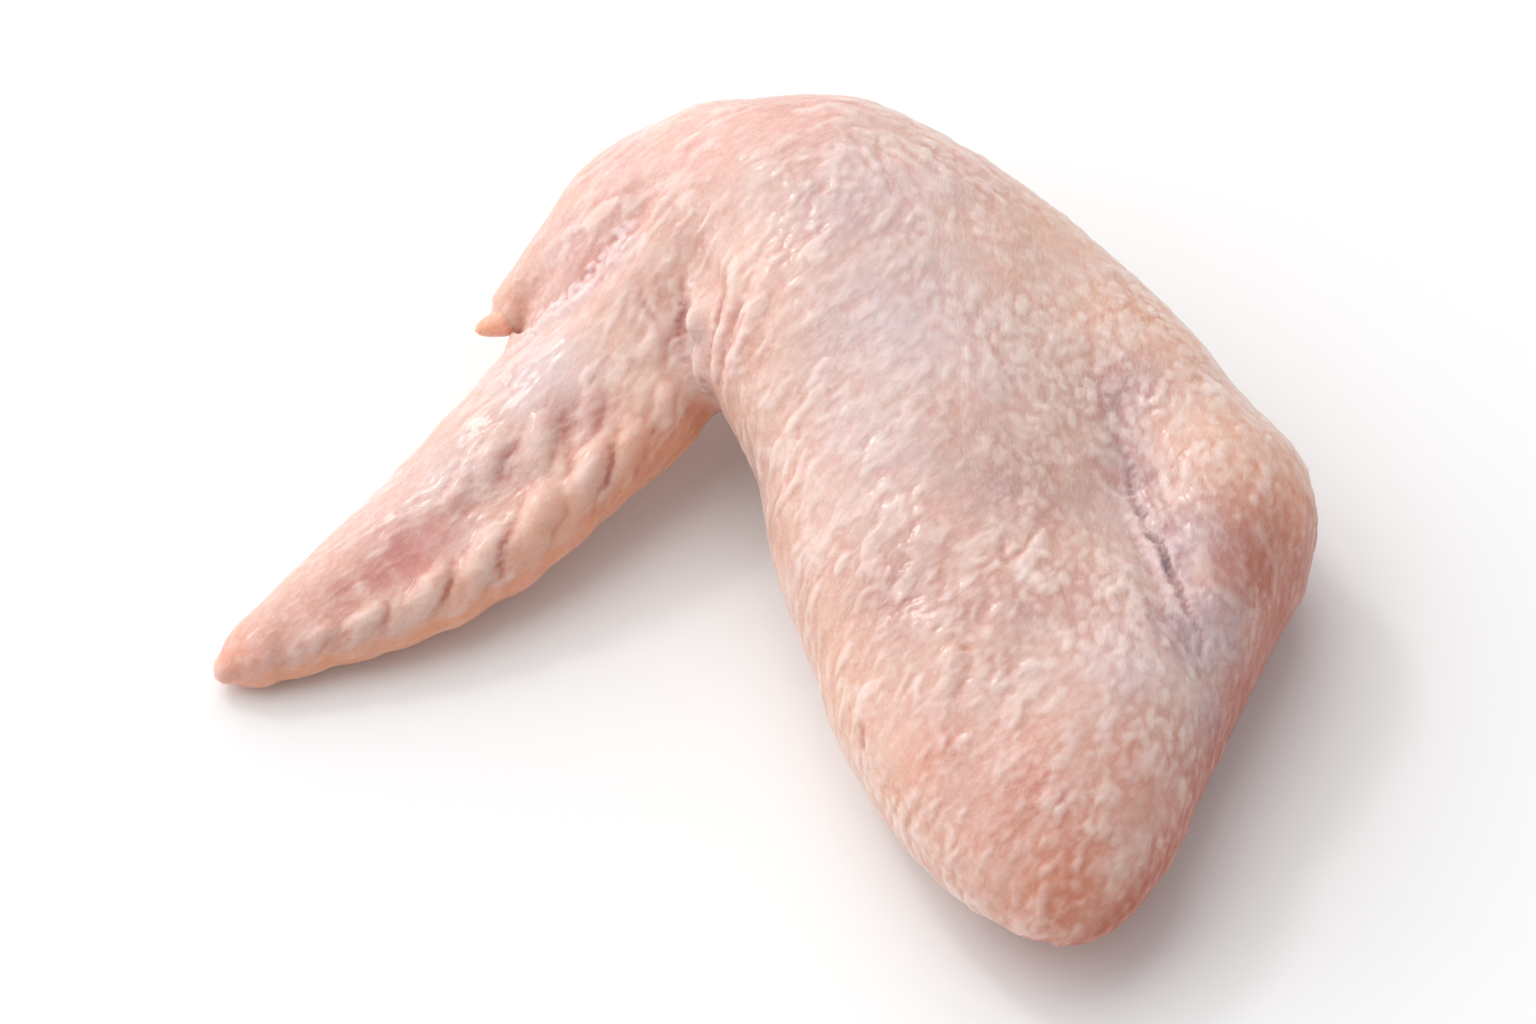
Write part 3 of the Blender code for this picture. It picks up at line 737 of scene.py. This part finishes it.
def colour_masks(skin, fold_colours):
    """How strongly each colour and cloud shows at each point, by the name of its mask."""
    points = skin.points
    masks = {name: patches(skin, table) for name, table in PATCHES.items()}
    # Painted shade: flanks turned away from the light are painted amber on the hand and tan elsewhere
    painted_shade = smooth_step(skin.normals @ np.array(AWAY_FROM_LIGHT), *PAINTED_SHADE_RANGE)
    on_hand = 1 - smooth_step(points[:, 0], *HAND_END)
    masks["amber_and_shade"] = np.maximum(masks["amber_and_shade"], painted_shade * on_hand)
    masks["tan"] = np.maximum(masks["tan"], painted_shade * (1 - on_hand))
    masks["lilac_and_shade"] = np.maximum(masks["lilac_and_shade"], fold_colours["lilac_and_shade"])
    masks["blush_and_shade"] = np.maximum(masks["blush_and_shade"], fold_colours["blush_and_shade"])
    masks["shade"] = fold_colours["shade"] ** SHADE_SHARPNESS
    masks["milk_and_highlight"] = fold_colours["milk_and_highlight"]
    masks["mottle"] = 0.5 + lumps(points, MOTTLE_SIZE)
    masks["blotch"] = 0.5 + lumps(points, BLOTCH_SIZE) + FINER_CLOUDS * lumps(points, BLOTCH_SIZE / 2)
    masks["moist"] = 0.5 + lumps(points, MOIST_SIZE) + FINER_CLOUDS * lumps(points, MOIST_SIZE / 3)
    return masks


def wing_skin():
    """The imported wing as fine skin. Its noise is seeded too, or it would start from the clock."""
    noise.seed_set(SEED)
    rng = np.random.default_rng(SEED)
    mesh = with_modifier(packed_skin(), "REMESH", mode="VOXEL", voxel_size=SPACING)
    skin = Skin(mesh)
    skin.melt_facets()
    skin.calm()
    skin.index()
    flesh = 1 - smooth_step(ball_level(skin.points, *MUSCLE), *CUT_RANGE)
    bone = 1 - smooth_step(ball_level(skin.points, *BONE), *CUT_RANGE)
    direction, values = texture_guides(skin.points)
    lively = liveliness(skin.points)
    dots = pimples(skin, rng)
    creased = all_wrinkles(skin, rng)
    plump = lobes(skin)
    folds, fold_colours = all_folds(skin)
    frayed = fringe(skin, rng)
    milky = FRINGE_MILK * smooth_step(frayed, 0.0, 2 * FRINGE_HEIGHT[0])
    fold_colours["milk_and_highlight"] = np.maximum(fold_colours["milk_and_highlight"], milky)
    relief = values[:, 3] * dots + values[:, 2] * lively * creased
    relief = relief * (1 - np.maximum(flesh, bone))
    relief = relief * (1 - LOBE_CALM * smooth_step(plump, *LOBE_CALM_RANGE)) + plump
    relief = relief - DENT_DEPTH * patches(skin, PATCHES["blush_and_shade"]) + folds + frayed
    for size, height in SWELLS:
        relief = relief + height * lumps(skin.points, size)
    masks = colour_masks(skin, fold_colours)
    masks["flesh"] = flesh
    masks["bone"] = bone
    masks["dots"] = np.clip(dots * values[:, 3] / PIMPLE_FULL_HEIGHT, 0, 1)
    masks["turn"] = direction % math.pi / math.pi
    skin.points = round_thumb(skin.points + skin.normals * relief[:, None])
    skin.points[:, 2] = np.maximum(skin.points[:, 2], 0.0)
    skin.update()
    level = ((skin.points - skin.smoothed(skin.points, RELIEF_ROUNDS)) * skin.normals).sum(1)
    masks["relief"] = np.clip(0.5 + level / RELIEF_RANGE + RELIEF_CREASES * lively * creased, 0, 1)
    for name, mask in masks.items():
        skin.set_mask(name, mask)
    skin.points = skin.points / MILLIMETRES_PER_METRE
    skin.update()
    piece = add_piece("wing_skin", mesh, skin_material())
    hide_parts("wing")


# Claw


def claw():
    """A short blunt claw, a bent cone with a round tip."""
    facing = Vector(CLAW_FACING).normalized()
    side = facing.cross(Vector((0.0, 0.0, 1.0))).normalized()
    up = side.cross(facing)
    shape = bmesh.new()
    rings = []
    for ring in range(CLAW_RINGS):
        share = ring / (CLAW_RINGS - 1)
        taper = max(share - CLAW_WIDEST, 0) / (1 - CLAW_WIDEST)
        radius = CLAW_RADIUS + (CLAW_TIP_RADIUS - CLAW_RADIUS) * taper
        radius = radius * min(CLAW_NARROWED + (1 - CLAW_NARROWED) * share / CLAW_WIDEST, 1)
        radius = max(radius * (1 - share ** CLAW_BLUNTNESS) ** 0.5, CLAW_END_RADIUS)
        middle = Vector(CLAW_ROOT) + facing * (share * (CLAW_LENGTH + CLAW_SUNK) - CLAW_SUNK)
        middle = middle - up * CLAW_DROOP * share ** 2
        corners = []
        for k in range(CLAW_SIDES):
            angle = 2 * math.pi * k / CLAW_SIDES
            outward = side * math.cos(angle) + up * math.sin(angle)
            corners.append(shape.verts.new(middle + radius * outward))
        rings.append(corners)
    for near, far in zip(rings, rings[1:]):
        for k in range(CLAW_SIDES):
            n = (k + 1) % CLAW_SIDES
            shape.faces.new((near[k], near[n], far[n], far[k]))
    shape.faces.new(list(reversed(rings[0])))
    shape.faces.new(rings[-1])
    bmesh.ops.recalc_face_normals(shape, faces=shape.faces)
    shape.transform(Matrix.Scale(1 / MILLIMETRES_PER_METRE, 4))
    mesh = bpy.data.meshes.new("claw")
    shape.to_mesh(mesh)
    shape.free()
    add_piece("claw", mesh, claw_material())


# Materials


class Graph:
    """A material's nodes, added one call at a time."""

    def __init__(self, name):
        self.material = bpy.data.materials.new(name)
        self.material.use_nodes = True
        self.tree = self.material.node_tree
        self.shader = self.tree.nodes["Principled BSDF"]

    def put(self, socket, value):
        """Link or set one socket."""
        if isinstance(value, bpy.types.NodeSocket):
            self.tree.links.new(value, socket)
        elif isinstance(value, tuple) and len(value) == 3 and socket.type == "RGBA":
            socket.default_value = (*value, 1.0)
        else:
            socket.default_value = value

    def node(self, kind, inputs, **settings):
        node = self.tree.nodes.new(kind)
        for name, value in settings.items():
            setattr(node, name, value)
        for name, value in inputs.items():
            self.put(node.inputs[name], value)
        return node

    def mask(self, name):
        return self.node("ShaderNodeAttribute", {}, attribute_name=name).outputs["Fac"]

    def mix(self, share, a, b, blend="MIX"):
        """Colour a turned into b by the share. A mix node has its colours at 6, 7 and 2."""
        node = self.node("ShaderNodeMix", {}, data_type="RGBA", blend_type=blend)
        self.put(node.inputs[0], share)
        self.put(node.inputs[6], a)
        self.put(node.inputs[7], b)
        return node.outputs[2]

    def math(self, operation, a, b=0.0):
        node = self.node("ShaderNodeMath", {}, operation=operation)
        self.put(node.inputs[0], a)
        self.put(node.inputs[1], b)
        return node.outputs[0]

    def ramp(self, value, low, high, start=0.0, end=1.0):
        inputs = {"Value": value, "From Min": low, "From Max": high, "To Min": start, "To Max": end}
        return self.node("ShaderNodeMapRange", inputs).outputs[0]

    def place(self, scale=(1.0, 1.0, 1.0), turn=(0.0, 0.0, 0.0)):
        """Coordinates in millimetres, turned and then stretched."""
        where = self.node("ShaderNodeTexCoord", {}).outputs["Object"]
        turned = self.node("ShaderNodeMapping", {"Vector": where, "Rotation": turn}).outputs[0]
        stretch = tuple(MILLIMETRES_PER_METRE * s for s in scale)
        return self.node("ShaderNodeMapping", {"Vector": turned, "Scale": stretch}).outputs[0]

    def noise(self, place, scale, detail=2.0, roughness=0.5, distortion=0.0):
        inputs = {"Vector": place, "Scale": scale, "Detail": detail, "Roughness": roughness,
                  "Distortion": distortion}
        return self.node("ShaderNodeTexNoise", inputs).outputs["Fac"]

    def bump(self, height, strength, distance):
        inputs = {"Height": height, "Strength": strength, "Distance": distance}
        return self.node("ShaderNodeBump", inputs).outputs[0]

    def finish(self, **inputs):
        """Set the shader's sockets, named with _ for a space, and hand out the material."""
        for name, value in inputs.items():
            self.put(self.shader.inputs[name.replace("_", " ")], value)
        return self.material


def skin_grain(g):
    """Fine wrinkles that slant on one part of the wing and run up and down on the rest."""
    slanting = g.noise(g.place(GRAIN_STRETCH, (0.0, 0.0, GRAIN_SLANT)), **GRAIN_NOISE)
    steep = g.noise(g.place(GRAIN_STRETCH, (0.0, 0.0, GRAIN_STEEP)), **GRAIN_NOISE)
    return g.mix(g.ramp(g.mask("turn"), 0.3, 0.45), slanting, steep)


def skin_material():
    """Skin whose places have their own colours, with pale tops and darker, redder creases, partly painted
    shade.
    """
    g = Graph("raw_skin")
    blotch = g.mask("blotch")
    relief = g.mask("relief")
    grain = skin_grain(g)

    def pale(base, share):
        """Paler by the share, but less so where the colour is deep."""
        return g.mix(g.math("MULTIPLY", share, pallor), base, PALE)

    # Creases redder and darker; the darkening is partly painted shade
    def creased(base, share):
        return g.mix(share, base, g.mix(1.0, base, CREASE_TINT_AND_SHADE, "MULTIPLY"))

    base = g.mix(g.ramp(g.mask("mottle"), 0.3, 0.8, 0.0, 0.5), CREAM, PEACH)
    for name, colour in PLACE_COLOURS.items():
        base = g.mix(g.mask(name), base, colour)
    deep = g.math("MAXIMUM", g.math("MAXIMUM", g.mask("tan"), g.mask("amber_and_shade")), g.mask("blush_and_shade"))
    pallor = g.ramp(deep, 0.0, 1.0, 1.0, 0.35)
    base = pale(base, g.ramp(g.mask("moist"), 0.5, 1.2, 0.0, 0.25))
    base = g.mix(g.ramp(blotch, 0.5, 1.1, 0.0, 0.22), base, ROSE)
    # Low places of the relief get the crease colour, partly painted shade
    base = creased(base, g.ramp(relief, 0.45, 0.0, 0.0, 0.9))
    base = pale(base, g.ramp(relief, 0.5, 1.0, 0.0, 0.48))
    base = pale(base, g.ramp(g.mask("dots"), 0.1, 0.8, 0.0, 0.34))
    base = g.mix(g.mask("milk_and_highlight"), base, MILK_AND_HIGHLIGHT)
    base = pale(base, g.ramp(grain, 0.5, 0.72, 0.0, 0.33))
    base = creased(base, g.ramp(grain, 0.5, 0.28, 0.0, 0.36))
    base = g.mix(g.mask("shade"), base, SHADE)
    flesh = g.mix(g.ramp(blotch, 0.3, 0.9), FLESH, ROSE)
    base = g.mix(g.mask("flesh"), base, flesh)
    base = g.mix(g.mask("bone"), base, BONE_COLOUR)
    return g.finish(
        Base_Color=base, Roughness=g.ramp(g.mask("moist"), 0.1, 0.9, 0.38, 0.52),
        Normal=g.bump(grain, 0.5, GRAIN_HEIGHT), Subsurface_Weight=0.6,
        Subsurface_Radius=(1.0, 0.45, 0.3), Subsurface_Scale=0.0012, IOR=1.42,
        Coat_Weight=0.32, Coat_Roughness=0.1,
    )


def claw_material():
    g = Graph("claw_horn")
    streaks = g.noise(g.place((0.5, 1.6, 1.6), (0.0, 0.0, math.radians(-35.0))), 1.4, 3.0, 0.6)
    base = g.mix(g.ramp(streaks, 0.35, 0.65), CLAW_COLOUR, CLAW_TIP_COLOUR)
    normal = g.bump(streaks, 0.3, 0.0001)
    return g.finish(
        Base_Color=base, Roughness=g.ramp(streaks, 0.3, 0.7, 0.25, 0.38), Normal=normal,
        Subsurface_Weight=0.4, Subsurface_Radius=(1.0, 0.5, 0.3), Subsurface_Scale=0.001, IOR=1.5,
    )


def table_material():
    g = Graph("pale_table")
    speck = g.noise(g.place(), 0.02, 2.0)
    base = g.mix(g.ramp(speck, 0.3, 0.7, 0.0, 0.3), TABLE_COLOUR, TABLE_SPECK_COLOUR)
    return g.finish(Base_Color=base, Roughness=0.7)


# Stage


def add_table():
    mesh = bpy.data.meshes.new("table")
    half = TABLE_SIZE / 2
    corners = [(-half, -half, 0.0), (half, -half, 0.0), (half, half, 0.0), (-half, half, 0.0)]
    mesh.from_pydata(corners, [], [(0, 1, 2, 3)])
    mesh.materials.append(table_material())
    table = bpy.data.objects.new("table", mesh)
    bpy.context.scene.collection.objects.link(table)


def add_sun(name, direction, strength, angle):
    data = bpy.data.lights.new(name, "SUN")
    data.energy = strength
    data.angle = angle
    sun = bpy.data.objects.new(name, data)
    sun.rotation_euler = Vector(direction).to_track_quat("Z", "Y").to_euler()
    bpy.context.scene.collection.objects.link(sun)


def add_light():
    add_sun("window", SUN_DIRECTION, SUN_STRENGTH, SUN_ANGLE)
    add_sun("glint", GLINT_DIRECTION, GLINT_STRENGTH, GLINT_ANGLE)
    world = bpy.data.worlds.new("surroundings")
    world.use_nodes = True
    background = world.node_tree.nodes["Background"]
    background.inputs["Color"].default_value = (1.0, 1.0, 1.0, 1.0)
    background.inputs["Strength"].default_value = SKY_STRENGTH
    bpy.context.scene.world = world
    bpy.context.scene.view_settings.view_transform = "Standard"


def add_camera():
    data = bpy.data.cameras.new("camera")
    data.lens = LENS
    data.sensor_width = SENSOR_WIDTH
    data.clip_end = VIEW_CLIP_METRES
    camera = bpy.data.objects.new("camera", data)
    backward = Vector((0.0, -math.cos(VIEW_ELEVATION), math.sin(VIEW_ELEVATION)))
    camera.location = (Vector(VIEW_TARGET) + backward * VIEW_DISTANCE) / MILLIMETRES_PER_METRE
    camera.rotation_euler = backward.to_track_quat("Z", "Y").to_euler()
    bpy.context.scene.collection.objects.link(camera)
    bpy.context.scene.camera = camera


wing_skin()
claw()
add_table()
add_light()
add_camera()
